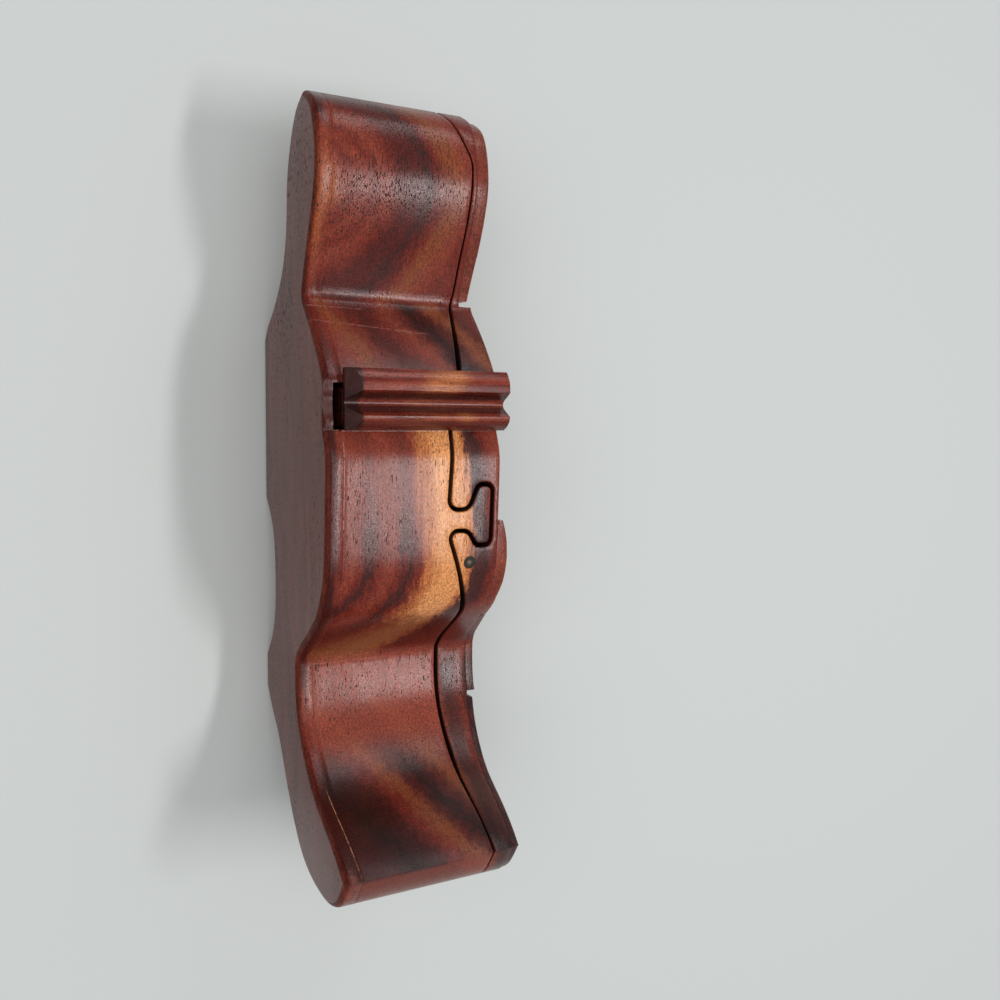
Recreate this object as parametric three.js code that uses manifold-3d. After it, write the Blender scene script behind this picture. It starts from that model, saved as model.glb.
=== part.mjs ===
// Wooden puzzle box, band-sawn to a free silhouette that stands on its flat edge.
// Millimetres, +Z up. The length runs along X, with the rounded head at +X and the raised tip at -X.
// The plain back looks towards +Y and the sliding front towards -Y.
// The origin is on the table, under the middle of the length and of the depth.
import * as THREE from 'three';
import { mergeVertices } from 'three/addons/utils/BufferGeometryUtils.js';
import Module from 'manifold-3d';

const wasm = await Module();
wasm.setup();

// Length of the box, which its silhouette is stretched to
const boxLength = 174.2;

// Silhouette as [x, z] points, each run a smooth curve between two sharp corners
const tip = [-77.7, 56];
const waist = [-38.3, 24.4];
const neck = [43.8, 29.7];
const tailTop = [[-75, 52.8], [-71.2, 47], [-66, 37.8], [-61, 32.3], [-56, 28.4], [-51, 25.8], [-45, 24.5]];
const humpTop = [
  [-36.4, 25.6], [-34.2, 28.3], [-28, 36.6], [-24, 40.3], [-19, 42.9], [-13, 44.3],
  [4, 45.3], [9, 45.4], [12, 44.9], [15, 43.4], [18, 43.2], [21.5, 43.8], [24.5, 44], [27, 43], [35, 37.4],
];
const head = [
  [53, 33.2], [60, 36.4], [67, 38.8], [72, 39.3], [78.4, 38.3], [84, 35.6], [87.1, 30.2],
  [85, 25.5], [80.8, 22.3], [76, 20], [70.5, 18.2], [64, 17.8], [57.3, 16.9], [50.5, 14],
  [43.5, 7.9], [39.6, 2.6], [36, 0],
];
const belly = [[-2.5, 0], [-8, 4.6], [-15, 6.8], [-27, 7], [-35, 4.8], [-41, 0]];
const tailUnder = [
  [-49.5, 0], [-55, 4], [-60.3, 9.3], [-69.2, 15], [-76, 19.8], [-82.6, 26.3],
  [-85.8, 33], [-87.1, 41], [-86.6, 47.2], [-83.9, 51.8],
];
const rimRadius = 1.8;

// Depths, all measured from the back face towards the front
const panelThickness = 3.8;
const seamHeadEnd = 27.5;
const seamHead = 36.6;
const seamNeck = 36.1;
const seamBay = 29.4;
const seamTail = 35.4;
const seamTip = 34.8;
const faceHead = 37.9;
const faceBody = 41;
const faceWaist = 43.5;
const faceTip = 39.8;
const glueLine = 0.1;

// Places along the length where the seam turns, each with the radius of its turn
const seamHeadX = 75;
const seamHeadRadius = 9;
const seamNeckX = 46;
const seamNeckRadius = 24;
const seamBayX = 17;
const seamBayRadius = 24;
const seamTailX = -26.5;
const seamTailRadius = 8;

// Width of the sawn gap, which closes up towards both ends
const kerfMiddle = 1;
const kerfEnds = 0.4;
const kerfOpenHead = 47;
const kerfOpenTail = -73;
const kerfFade = 12;

// Jigsaw tab of the block, held by the slot of the front
const tabX = -3.8;
const tabHalfWidth = 6.95;
const tabNeckX = -4.85;
const tabNeckHalfWidth = 2.4;
const tabLength = 9.9;
const tabHeadLength = 3.7;
const tabSlant = 2.2;
const tabRadius = 1.7;
const tongueRadius = 2.4;
const tongueReach = 1;

// Places along the length where the face of the front steps and slants
const faceHumpX = -24;
const faceWaistX = -38;
const faceTailX = -50;

// Key, a fluted bar on a dovetail rail, which slides out towards the front
const keyStart = 4;
const keyEnd = 41.8;
const keyX = 15.2;
const keyWidth = 13;
const keyTop = 48.2;
const keySeat = 43.9;
const keyEndBevel = 3;
const keyFlutes = [
  [13, -1.8], [12.2, -1.1], [10.4, 0], [8.4, -0.2], [7.4, -1.4], [6.5, -2.9], [5.8, -3.5],
  [5.1, -3.3], [4.3, -2.1], [3.6, -0.5], [3.1, 0], [2, 0], [1, -1], [0, -2.8],
];
const railX = 15.5;
const railWidth = 9.3;
const railHeight = 7.3;
const railFlare = 1;
const keyClearance = 0.3;
const slotStart = 2.2;
const thumbRecessX = 26.6;
const thumbRecessFloor = 42.6;

// Hollows as [x, z, radius] corners, routed into the block from the seam and lined with felt
const hollowFloor = 7.2;
const mainHollow = [[3, 5.5, 4], [36, 5.5, 4], [36, 33, 4], [3, 33, 4]];
const tailHollow = [[-37.5, 12, 3], [-14, 12, 3], [-14, 39, 4], [-21, 37.4, 6], [-37.5, 18.4, 3]];
const feltThickness = 0.8;
const feltGap = 0.15;
const feltSetback = 1.5;

// Dowel driven down into the front beside its slot
const dowelX = -14.6;
const dowelDepth = 34.1;
const dowelTop = 44;
const dowelRadius = 1.4;
const dowelLength = 24;
const dowelClearance = 0.06;
const dowelSides = 20;

// Relief pieces glued on the front, as [x, z, radius] corners
const reliefRim = 0.8;
const headReliefThickness = 3.4;
const headReliefInset = 1.1;
const headRelief = [[45.1, -9, 0], [95, -9, 0], [95, 60, 0], [45.1, 60, 0]];
const humpReliefThickness = 3;
const humpRelief = [[-25, 60, 0], [-27, 26, 6], [-20, 14, 7], [-10, 17, 8], [-5.3, 32, 8], [-5.3, 60, 0]];
const bandReliefThickness = 2.1;
const bandRelief = [[-50.2, 60, 0], [-50.2, 20, 6], [-43, 9, 8], [-34, 9, 5], [-30.5, 24, 9], [-28.5, 60, 0]];
const tailReliefThickness = 1.7;
const tailRelief = [[-95, 60, 0], [-90, 35, 6], [-68, 20, 9], [-55.5, 13, 6], [-51.7, 22, 8], [-51.7, 60, 0]];
const reliefInset = 0.3;

// Fineness of the curves, and how far cutting shapes reach past the box
const curveSteps = 3;
const arcStep = 0.4;
const rimSteps = 3;
const margin = 9;

const overallDepth = faceWaist + glueLine + bandReliefThickness;
const above = Math.max(keyTop, tip[1]) + margin;
const beyond = boxLength / 2 + margin;

const drawnPlaces = [...head, ...tailUnder].map(([x]) => x);
const drawnLength = Math.max(...drawnPlaces) - Math.min(...drawnPlaces);
const stretched = ([x, z]) => [(x * boxLength) / drawnLength, z];

const toY = (depth) => overallDepth / 2 - depth;
const inPlan = ([x, depth, ...radius]) => [x, toY(depth), ...radius];

// Closed geometry to a solid for cutting and joining, and back
function solidOf(geometry) {
  geometry.deleteAttribute('normal');
  geometry.deleteAttribute('uv');
  const merged = mergeVertices(geometry);
  return new wasm.Manifold(new wasm.Mesh({
    numProp: 3,
    vertProperties: new Float32Array(merged.attributes.position.array),
    triVerts: new Uint32Array(merged.index.array),
  }));
}

function geometryOf(solid) {
  const mesh = solid.getMesh();
  const geometry = new THREE.BufferGeometry();
  geometry.setAttribute('position', new THREE.BufferAttribute(mesh.vertProperties, mesh.numProp));
  geometry.setIndex(new THREE.BufferAttribute(mesh.triVerts, 1));
  geometry.computeVertexNormals();
  return geometry;
}

// Corner of a path seen from its two neighbours
function cornerAt(corners, i) {
  const at = (k) => new THREE.Vector2(...corners[(k + corners.length) % corners.length].slice(0, 2));
  const point = at(i);
  const before = at(i - 1).sub(point);
  const after = at(i + 1).sub(point);
  const room = Math.min(before.length(), after.length()) / 2;
  before.normalize();
  after.normalize();
  const half = Math.acos(THREE.MathUtils.clamp(before.dot(after), -1, 1)) / 2;
  const middle = before.clone().add(after).normalize();
  return { point, before, after, room, half, middle };
}

// Path whose corners, given as [x, y, radius], are rounded by arcs
function rounded(corners, closed = true) {
  return corners.flatMap(([, , radius = 0], i) => {
    const { point, before, after, room, half, middle } = cornerAt(corners, i);
    const isEnd = !closed && (i === 0 || i === corners.length - 1);
    if (isEnd || radius === 0) return [point];
    const reach = Math.min(radius / Math.tan(half), room);
    const centre = point.clone().addScaledVector(middle, reach / Math.cos(half));
    const from = before.multiplyScalar(reach).add(point).sub(centre);
    const to = after.multiplyScalar(reach).add(point).sub(centre);
    const turn = Math.atan2(from.cross(to), from.dot(to));
    const steps = Math.max(2, Math.ceil(Math.abs(turn) / arcStep));
    const origin = new THREE.Vector2();
    return Array.from({ length: steps + 1 }, (_, k) => (
      from.clone().rotateAround(origin, (turn * k) / steps).add(centre)
    ));
  });
}

// Outward-bulging outline moved inwards on all sides
function shrunk(corners, by) {
  return corners.map(([, , radius], i) => {
    const { point, half, middle } = cornerAt(corners, i);
    point.addScaledVector(middle, by / Math.sin(half));
    return [point.x, point.y, radius - by];
  });
}

function silhouette() {
  const shape = new THREE.Shape();
  const lineTo = (point) => shape.lineTo(...stretched(point));
  const curveThrough = (run) => shape.splineThru(run.map((point) => new THREE.Vector2(...stretched(point))));
  shape.moveTo(...stretched(tip));
  lineTo(tailTop[0]);
  curveThrough([...tailTop.slice(1), waist]);
  curveThrough([...humpTop, neck]);
  curveThrough(head);
  lineTo(belly[0]);
  curveThrough(belly.slice(1));
  lineTo(tailUnder[0]);
  curveThrough(tailUnder.slice(1));
  lineTo(tip);
  return shape;
}

// Solid between two depths with an outline in X and Z, both its ends rounded by a rim
function upright(shape, fromDepth, toDepth, rim = 0, inset = 0) {
  const geometry = new THREE.ExtrudeGeometry(shape, {
    depth: toDepth - fromDepth - 2 * rim,
    curveSegments: curveSteps,
    bevelEnabled: rim > 0,
    bevelThickness: rim,
    bevelSize: rim,
    bevelOffset: -rim - inset,
    bevelSegments: rimSteps,
  });
  geometry.rotateX(Math.PI / 2);
  geometry.translate(0, toY(fromDepth + rim), 0);
  return solidOf(geometry);
}

// Solid with an outline in plan that reaches past the box above and below
function standing(points) {
  const geometry = new THREE.ExtrudeGeometry(new THREE.Shape(points), { depth: above + margin, bevelEnabled: false });
  geometry.translate(0, 0, -margin);
  return solidOf(geometry);
}

// Solid along X with an outline in depth and Z
function lengthwise(points, lowX, highX) {
  const shape = new THREE.Shape(points.map((point) => new THREE.Vector2(...point)));
  const geometry = new THREE.ExtrudeGeometry(shape, { depth: highX - lowX, bevelEnabled: false });
  const towardsFront = new THREE.Vector3(0, -1, 0);
  const up = new THREE.Vector3(0, 0, 1);
  geometry.applyMatrix4(new THREE.Matrix4().makeBasis(towardsFront, up, new THREE.Vector3(-1, 0, 0)));
  geometry.translate(highX, toY(0), 0);
  return solidOf(geometry);
}

function box(lowX, highX, fromDepth, toDepth, lowZ, highZ) {
  return lengthwise([[fromDepth, lowZ], [toDepth, lowZ], [toDepth, highZ], [fromDepth, highZ]], lowX, highX);
}

// Middle of the sawn seam in plan, from the head to the tail and round the tab
function seamLine() {
  const tabEnd = seamBay + tabLength;
  const shoulder = tabEnd - tabHeadLength;
  const tailRun = (x) => [x, THREE.MathUtils.mapLinear(x, seamTailX, -beyond, seamTail, seamTip), 0];
  return rounded([
    [beyond, seamHeadEnd, 0],
    [seamHeadX, seamHead, seamHeadRadius],
    [seamNeckX, seamNeck, seamNeckRadius],
    [seamBayX, seamBay, seamBayRadius],
    [tabNeckX + tabNeckHalfWidth, seamBay - tongueReach, tongueRadius],
    [tabNeckX + tabNeckHalfWidth, shoulder - tabSlant, tongueRadius],
    [tabX + tabHalfWidth, shoulder, tabRadius],
    [tabX + tabHalfWidth, tabEnd, tabRadius],
    [tabX - tabHalfWidth, tabEnd, tabRadius],
    [tabX - tabHalfWidth, shoulder, tabRadius],
    [tabNeckX - tabNeckHalfWidth, shoulder - tabSlant, tongueRadius],
    [tabNeckX - tabNeckHalfWidth, seamBay - tongueReach, tongueRadius],
    [seamTailX, seamTail, seamTailRadius],
    tailRun(kerfOpenTail + kerfFade),
    tailRun(kerfOpenTail),
    tailRun(-beyond),
  ].map(inPlan), false);
}

function kerfAt(x) {
  const open = THREE.MathUtils.smoothstep(kerfOpenHead - x, 0, kerfFade)
    * THREE.MathUtils.smoothstep(x - kerfOpenTail, 0, kerfFade);
  return kerfEnds + (kerfMiddle - kerfEnds) * open;
}

// Seam line moved by half the sawn gap, towards the back for 1 and towards the front for -1
function seamEdge(side) {
  const line = seamLine();
  return line.map((point, i) => {
    const ahead = line[Math.min(i + 1, line.length - 1)];
    const behind = line[Math.max(i - 1, 0)];
    const along = ahead.clone().sub(behind).normalize();
    const reach = (side * kerfAt(point.x)) / 2;
    return new THREE.Vector2(point.x + along.y * reach, point.y - along.x * reach);
  });
}

// Face of the front in plan, from the head to the tail, with something of a given thickness on it
function faceEdge(thickness) {
  const [faceStepX] = stretched(neck);
  const [tipX] = stretched(tip);
  return [
    [beyond, faceHead], [faceStepX, faceHead], [faceStepX, faceBody], [faceHumpX, faceBody],
    [faceWaistX, faceWaist], [faceTailX, faceWaist], [tipX, faceTip], [-beyond, faceTip],
  ].map(([x, depth]) => new THREE.Vector2(x, toY(depth + thickness)));
}

// Everything between a straight line across the back and an edge in plan
function behind(edge, depth) {
  return standing([...edge, new THREE.Vector2(-beyond, toY(depth)), new THREE.Vector2(beyond, toY(depth))]);
}

// Block in plan, held back from the seam by some distance
function blockPlan(setback) {
  return behind(seamEdge(1).map(({ x, y }) => new THREE.Vector2(x, y + setback)), panelThickness);
}

// Slot for the rail, open at the top in the block and undercut in the front
function railSlot(lip) {
  const low = railX - keyClearance;
  const high = railX + railWidth + keyClearance;
  const shoulder = keySeat - keyClearance;
  const outline = [
    [low, shoulder - railHeight], [high, shoulder - railHeight], [high - lip, shoulder], [high - lip, above],
    [low + lip, above], [low + lip, shoulder],
  ].map((point) => new THREE.Vector2(...point));
  return upright(new THREE.Shape(outline), slotStart, overallDepth + margin);
}

// Room for the bar over the rail
function barSlot() {
  const low = keyX - keyClearance;
  const high = keyX + keyWidth + keyClearance;
  return box(low, high, slotStart, overallDepth + margin, keySeat - keyClearance, above);
}

function hollow(corners) {
  return upright(new THREE.Shape(rounded(corners)), hollowFloor, overallDepth);
}

function dowel(radius, length) {
  const geometry = new THREE.CylinderGeometry(radius, radius, length + margin, dowelSides);
  geometry.rotateX(Math.PI / 2);
  geometry.translate(dowelX, toY(dowelDepth), dowelTop + (margin - length) / 2);
  return solidOf(geometry);
}

function backPanel() {
  const thumbRecess = box(keyX - keyClearance, thumbRecessX, -margin, overallDepth, thumbRecessFloor, above);
  return upright(silhouette(), 0, overallDepth, rimRadius)
    .intersect(box(-beyond, beyond, -margin, panelThickness - glueLine, -margin, above))
    .subtract(thumbRecess)
    .subtract(railSlot(0));
}

function mainBlock() {
  return upright(silhouette(), 0, overallDepth)
    .intersect(blockPlan(0))
    .subtract(railSlot(0))
    .subtract(barSlot())
    .subtract(hollow(mainHollow))
    .subtract(hollow(tailHollow));
}

// Felt on the floor of a hollow, and a second piece round its walls that ends short of the seam
function feltFloor(corners) {
  const start = hollowFloor + glueLine;
  return upright(new THREE.Shape(rounded(shrunk(corners, feltGap))), start, start + feltThickness);
}

function feltWall(corners) {
  const shape = new THREE.Shape(rounded(shrunk(corners, feltGap)));
  shape.holes.push(new THREE.Path(rounded(shrunk(corners, feltGap + feltThickness))));
  const start = hollowFloor + feltThickness + 2 * glueLine;
  return upright(shape, start, overallDepth).intersect(blockPlan(feltSetback));
}

function frontBlock() {
  return upright(silhouette(), 0, overallDepth)
    .intersect(behind(faceEdge(0), 0))
    .subtract(behind(seamEdge(-1), -margin))
    .subtract(railSlot(railFlare))
    .subtract(barSlot())
    .subtract(dowel(dowelRadius + dowelClearance, dowelLength + dowelClearance));
}

function frontDowel() {
  return dowel(dowelRadius, dowelLength).intersect(upright(silhouette(), 0, overallDepth));
}

// Piece of relief on the face of the front, kept inside the silhouette
function relief(corners, thickness, face, inset) {
  const outer = face + glueLine + thickness;
  return upright(new THREE.Shape(rounded(corners)), faceHead - margin, outer, reliefRim)
    .intersect(upright(silhouette(), faceHead - margin, outer, reliefRim, inset))
    .intersect(behind(faceEdge(glueLine + thickness), 0))
    .subtract(behind(faceEdge(glueLine), -margin));
}

// Bar with its two lobes and the flute between them, its back end bevelled
function keyBar() {
  const top = keyFlutes.map(([x, z]) => new THREE.Vector2(keyX + x, keyTop + z));
  const seat = [new THREE.Vector2(keyX, keySeat), new THREE.Vector2(keyX + keyWidth, keySeat)];
  const bevel = [
    [keyStart - margin, keyTop - keyEndBevel - margin], [keyStart + keyEndBevel + margin, keyTop + margin],
    [keyStart - margin, keyTop + margin],
  ];
  return upright(new THREE.Shape([...seat, ...top]), keyStart, keyEnd)
    .subtract(lengthwise(bevel, keyX - margin, keyX + keyWidth + margin));
}

function keyRail() {
  const top = keySeat - glueLine;
  const foot = keySeat - railHeight;
  const outline = [
    [railX, foot], [railX + railWidth, foot], [railX + railWidth - railFlare, top], [railX + railFlare, top],
  ].map((point) => new THREE.Vector2(...point));
  return upright(new THREE.Shape(outline), keyStart, keyEnd);
}

const rosewood = { color: 0x6b2a1c, roughness: 0.35, metalness: 0 };
const darkRosewood = { color: 0x3a1716, roughness: 0.35, metalness: 0 };
const redRosewood = { color: 0x8a3420, roughness: 0.35, metalness: 0 };
const smokedDowel = { color: 0x3b352b, roughness: 0.5, metalness: 0 };
const felt = { color: 0x231a1c, roughness: 0.95, metalness: 0 };

const model = new THREE.Group();

function add(group, name, solid, finish) {
  const mesh = new THREE.Mesh(geometryOf(solid), new THREE.MeshStandardMaterial(finish));
  mesh.name = name;
  group.add(mesh);
}

const base = new THREE.Group();
add(base, 'main_block', mainBlock(), rosewood);
add(base, 'back_panel', backPanel(), redRosewood);
add(base, 'main_hollow_floor_felt', feltFloor(mainHollow), felt);
add(base, 'main_hollow_wall_felt', feltWall(mainHollow), felt);
add(base, 'tail_hollow_floor_felt', feltFloor(tailHollow), felt);
add(base, 'tail_hollow_wall_felt', feltWall(tailHollow), felt);

const front = new THREE.Group();
add(front, 'front_block', frontBlock(), rosewood);
add(front, 'front_dowel', frontDowel(), smokedDowel);
add(front, 'head_relief', relief(headRelief, headReliefThickness, faceHead, headReliefInset), redRosewood);
add(front, 'hump_relief', relief(humpRelief, humpReliefThickness, faceBody, reliefInset), redRosewood);
add(front, 'band_relief', relief(bandRelief, bandReliefThickness, faceWaist, reliefInset), rosewood);
add(front, 'tail_relief', relief(tailRelief, tailReliefThickness, faceWaist, reliefInset), darkRosewood);

const key = new THREE.Group();
add(key, 'key_bar', keyBar(), darkRosewood);
add(key, 'key_rail', keyRail(), rosewood);

model.add(base, front, key);

export default model;
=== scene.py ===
import math

import bpy
import bmesh
import numpy as np
from mathutils import Matrix, Vector
from mathutils.geometry import delaunay_2d_cdt


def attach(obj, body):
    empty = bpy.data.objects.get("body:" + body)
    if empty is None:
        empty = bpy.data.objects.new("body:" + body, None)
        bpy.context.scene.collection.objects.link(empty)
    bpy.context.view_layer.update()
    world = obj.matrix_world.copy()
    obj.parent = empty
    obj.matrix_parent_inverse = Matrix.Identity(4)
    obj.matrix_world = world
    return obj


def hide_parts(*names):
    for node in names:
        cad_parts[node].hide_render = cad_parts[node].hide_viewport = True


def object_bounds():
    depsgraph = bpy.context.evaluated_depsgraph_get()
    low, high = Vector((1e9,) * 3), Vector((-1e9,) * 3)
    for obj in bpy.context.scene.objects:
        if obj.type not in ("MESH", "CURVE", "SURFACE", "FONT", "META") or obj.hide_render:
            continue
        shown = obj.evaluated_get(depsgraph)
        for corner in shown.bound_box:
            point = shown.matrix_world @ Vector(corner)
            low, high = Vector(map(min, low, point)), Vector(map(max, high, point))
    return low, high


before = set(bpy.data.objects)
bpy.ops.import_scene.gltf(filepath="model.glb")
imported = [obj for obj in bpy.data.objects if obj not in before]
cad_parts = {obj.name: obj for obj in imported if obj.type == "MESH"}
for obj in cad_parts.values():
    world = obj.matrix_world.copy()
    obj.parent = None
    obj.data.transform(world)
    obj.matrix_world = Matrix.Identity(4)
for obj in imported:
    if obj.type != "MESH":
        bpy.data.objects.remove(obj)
cadBox = [list(corner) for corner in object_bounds()]

mm = 0.001
halfDepth = cadBox[1][1] / mm  # the back face stands at this y, and depths run from it towards the front
beyondEnd, beyondFront, beyondTop = 96.1, 60, 70  # x, depth and z in mm past everything, for cuts and edges
scene = bpy.context.scene
scene.view_settings.view_transform = "Standard"


# outline of the box, as x and z in mm, smooth between its sharp corners

boxOutline = {
    "runs": {
        "headTop": [(87.1, 30.2), (84, 35.6), (78.4, 38.3), (72, 39.3), (67, 38.8), (60, 36.4), (53, 33.2),
                    (43.8, 29.7)],
        "humpTop": [(43.8, 29.7), (35, 37.4), (27, 43), (24.5, 44), (21.5, 43.8), (18, 43.2), (15, 43.4),
                    (12, 44.9), (9, 45.4), (4, 45.3), (-13, 44.3), (-19, 42.9), (-24, 40.3), (-28, 36.6),
                    (-34.2, 28.3), (-36.4, 25.6), (-38.3, 24.4)],
        "tailTop": [(-38.3, 24.4), (-45, 24.5), (-51, 25.8), (-56, 28.4), (-61, 32.3), (-66, 37.8),
                    (-71.2, 47), (-75, 52.8), (-77.7, 56)],
        "tailEnd": [(-77.7, 56), (-83.9, 51.8), (-86.6, 47.2), (-87.1, 41), (-85.8, 33), (-82.6, 26.3),
                    (-76, 19.8), (-69.2, 15), (-60.3, 9.3), (-55, 4), (-49.5, 0)],
        "tailFoot": [(-49.5, 0), (-41, 0)],
        "belly": [(-41, 0), (-35, 4.8), (-27, 7), (-15, 6.8), (-8, 4.6), (-2.5, 0)],
        "headFoot": [(-2.5, 0), (36, 0)],
        "headUnder": [(36, 0), (39.6, 2.6), (43.5, 7.9), (50.5, 14), (57.3, 16.9), (64, 17.8), (70.5, 18.2),
                      (76, 20), (80.8, 22.3), (85, 25.5), (87.1, 30.2)],
    },
    "step": 0.7, "fairing": 12,
    "halfLength": 87.1,
    "crease": (43.8, 29.7), "creaseReach": 1.5, "creaseRounds": 5,
    "closest": 0.12,  # points nearer than this in x share one place across the block
}


def splineThrough(points, perSpan=14):
    pts = np.array(points, float)
    if len(pts) == 2:
        return pts
    full = np.vstack([pts[:1], pts, pts[-1:]])
    out = []
    for i in range(len(pts) - 1):
        a, b, c, d = full[i:i + 4]
        v0, v1 = (c - a) / 2, (d - b) / 2
        for t in np.linspace(0, 1, perSpan, endpoint=False):
            out.append((2 * b - 2 * c + v0 + v1) * t ** 3 + (3 * c - 3 * b - 2 * v0 - v1) * t ** 2 + v0 * t + b)
    return np.vstack([out, pts[-1:]])


def evenlySpaced(points, step):
    pts = np.array(points, float)
    along = np.r_[0, np.cumsum(np.linalg.norm(np.diff(pts, axis=0), axis=1))]
    at = np.linspace(0, along[-1], max(2, int(round(along[-1] / step))) + 1)
    return np.column_stack([np.interp(at, along, pts[:, k]) for k in (0, 1)])


def fairedRun(points, step, rounds):
    run = evenlySpaced(splineThrough(points), step)
    for _ in range(rounds):
        run[1:-1] += 0.5 * ((run[:-2] + run[2:]) / 2 - run[1:-1])
    return run


def unit(vectors):
    return vectors / np.linalg.norm(vectors, axis=1)[:, None]


def loopArea(loop):
    ahead = np.roll(loop, -1, 0)
    return np.sum(loop[:, 0] * ahead[:, 1] - ahead[:, 0] * loop[:, 1])


def loopNormals(loop):
    along = unit(unit(np.roll(loop, -1, 0) - loop) + unit(loop - np.roll(loop, 1, 0)))
    side = 1 if loopArea(loop) > 0 else -1
    return np.column_stack([along[:, 1], -along[:, 0]]) * side


class Outline:
    # closed outline that starts at its highest x, runs over the top to its lowest x and comes back below
    def __init__(self, loop):
        self.loop = np.roll(loop, -int(np.argmax(loop[:, 0])), 0)
        self.normal = loopNormals(self.loop)
        gaps = np.linalg.norm(np.roll(self.loop, -1, 0) - self.loop, axis=1)
        self.at = np.r_[0, np.cumsum(gaps)]
        self.length = self.at[-1]
        self.turn = int(np.argmin(self.loop[:, 0]))
        self.closed = np.vstack([self.loop, self.loop[:1]])
        self.closedNormal = np.vstack([self.normal, self.normal[:1]])

    def place(self, s):
        s = np.asarray(s, float)
        point, normal = (np.column_stack([np.interp(s, self.at, table[:, k]) for k in (0, 1)])
                         for table in (self.closed, self.closedNormal))
        return point, unit(normal)

    def onTop(self, x):
        run = slice(0, self.turn + 1)
        return np.interp(x, self.closed[run, 0][::-1], self.at[run][::-1])

    def below(self, x):
        return np.interp(x, self.closed[self.turn:, 0], self.at[self.turn:])

    def placesX(self):
        # x of the cuts across the block, from the head to the tail
        xs = np.unique(np.round(self.loop[:, 0], 4))[::-1]
        keep = [xs[0]]
        for x in xs[1:-1]:
            if keep[-1] - x > boxOutline["closest"]:
                keep.append(x)
        return np.array(keep + [xs[-1]])


def boxLoop():
    runs = [fairedRun(points, boxOutline["step"], boxOutline["fairing"])[:-1]
            for points in boxOutline["runs"].values()]
    loop = np.vstack(runs)
    # the crease at the foot of the head is sanded a little hollow
    near = np.where(np.hypot(*(loop - boxOutline["crease"]).T) < boxOutline["creaseReach"])[0]
    for _ in range(boxOutline["creaseRounds"]):
        loop[near] += 0.5 * ((loop[near - 1] + loop[near + 1]) / 2 - loop[near])
    loop[:, 0] = np.clip(loop[:, 0], -boxOutline["halfLength"], boxOutline["halfLength"])
    return Outline(loop)


outline = boxLoop()
xs = outline.placesX()
print("outline", len(outline.loop), "points, length", round(outline.length, 1))


# the sawn seam in plan, as x and depth, with the radius of each corner

seam = {
    "headEnd": 27.5, "head": (75, 36.6, 9), "neck": (46, 36.1, 24), "bay": (17, 29.4, 24),
    "tail": (-26.5, 35.4, 8), "tip": 34.8,
    "tabX": -3.8, "tabHalf": 6.95, "tabLength": 9.9, "tabHead": 3.7, "tabSlant": 2.2, "tabRadius": 1.7,
    "neckX": -4.85, "tabNeck": 2.4, "tongueRadius": 2.4, "tongueReach": 1,
    "kerf": 1.0, "kerfEnds": 0.4, "openHead": 47, "openTail": -73, "fade": 12,
    "lip": 0.28, "step": 0.6,
    "overhang": 12,  # the seam folds back on itself within this x of the tab's middle
    "clear": 0.2,
}


def roundedPath(corners, arcStep=0.14):
    out = []
    for i, (x, y, radius) in enumerate(corners):
        here = np.array([x, y], float)
        if radius == 0 or i in (0, len(corners) - 1):
            out.append(here)
            continue
        before = np.array(corners[i - 1][:2], float) - here
        after = np.array(corners[i + 1][:2], float) - here
        room = min(np.linalg.norm(before), np.linalg.norm(after)) / 2
        before /= np.linalg.norm(before)
        after /= np.linalg.norm(after)
        half = math.acos(max(-1, min(1, float(before @ after)))) / 2
        middle = before + after
        middle /= np.linalg.norm(middle)
        reach = min(radius / math.tan(half), room)
        centre = here + middle * reach / math.cos(half)
        start = here + before * reach - centre
        end = here + after * reach - centre
        turn = math.atan2(start[0] * end[1] - start[1] * end[0], float(start @ end))
        steps = max(3, math.ceil(abs(turn) / arcStep))
        for k in range(steps + 1):
            c, s = math.cos(turn * k / steps), math.sin(turn * k / steps)
            out.append(centre + np.array([start[0] * c - start[1] * s, start[0] * s + start[1] * c]))
    return np.array(out)


def closedRounded(corners, arcStep=0.2):
    return roundedPath([(*corners[-1][:2], 0)] + corners + [(*corners[0][:2], 0)], arcStep)[1:-1]


def smoothStep(value, low, high):
    t = np.clip((value - low) / (high - low), 0, 1)
    return t * t * (3 - 2 * t)


def seamMiddle():
    s = seam
    end = s["bay"][1] + s["tabLength"]
    shoulder = end - s["tabHead"]
    low = s["bay"][1] - s["tongueReach"]
    x, half, radius = s["tabX"], s["tabHalf"], s["tabRadius"]
    neck = [(s["neckX"] + side * s["tabNeck"], depth, s["tongueRadius"])
            for side, depth in ((1, low), (1, shoulder - s["tabSlant"]), (-1, shoulder - s["tabSlant"]), (-1, low))]
    head = [(x + half, shoulder, radius), (x + half, end, radius),
            (x - half, end, radius), (x - half, shoulder, radius)]
    path = roundedPath([(beyondEnd, s["headEnd"], 0), s["head"], s["neck"], s["bay"], *neck[:2], *head, *neck[2:],
                        s["tail"], (-beyondEnd, s["tip"], 0)])
    out = [path[0]]
    for a, b in zip(path[:-1], path[1:]):
        parts = max(1, math.ceil(np.linalg.norm(b - a) / s["step"]))
        out += [a + (b - a) * k / parts for k in range(1, parts + 1)]
    return np.array(out)


def stepsAlong(line):
    return np.vstack([line[1:2] - line[:1], line[2:] - line[:-2], line[-1:] - line[-2:-1]])


def seamSide(side):
    # middle line moved by half the sawn gap: 1 towards the back, -1 towards the front
    line = seamMiddle()
    along = unit(stepsAlong(line))
    opening = smoothStep(seam["openHead"] - line[:, 0], 0, seam["fade"])
    opening *= smoothStep(line[:, 0] - seam["openTail"], 0, seam["fade"])
    reach = side * (seam["kerfEnds"] + (seam["kerf"] - seam["kerfEnds"]) * opening) / 2
    across = np.column_stack([-along[:, 1], along[:, 0]])
    return line + across * reach[:, None], -across * side


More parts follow.
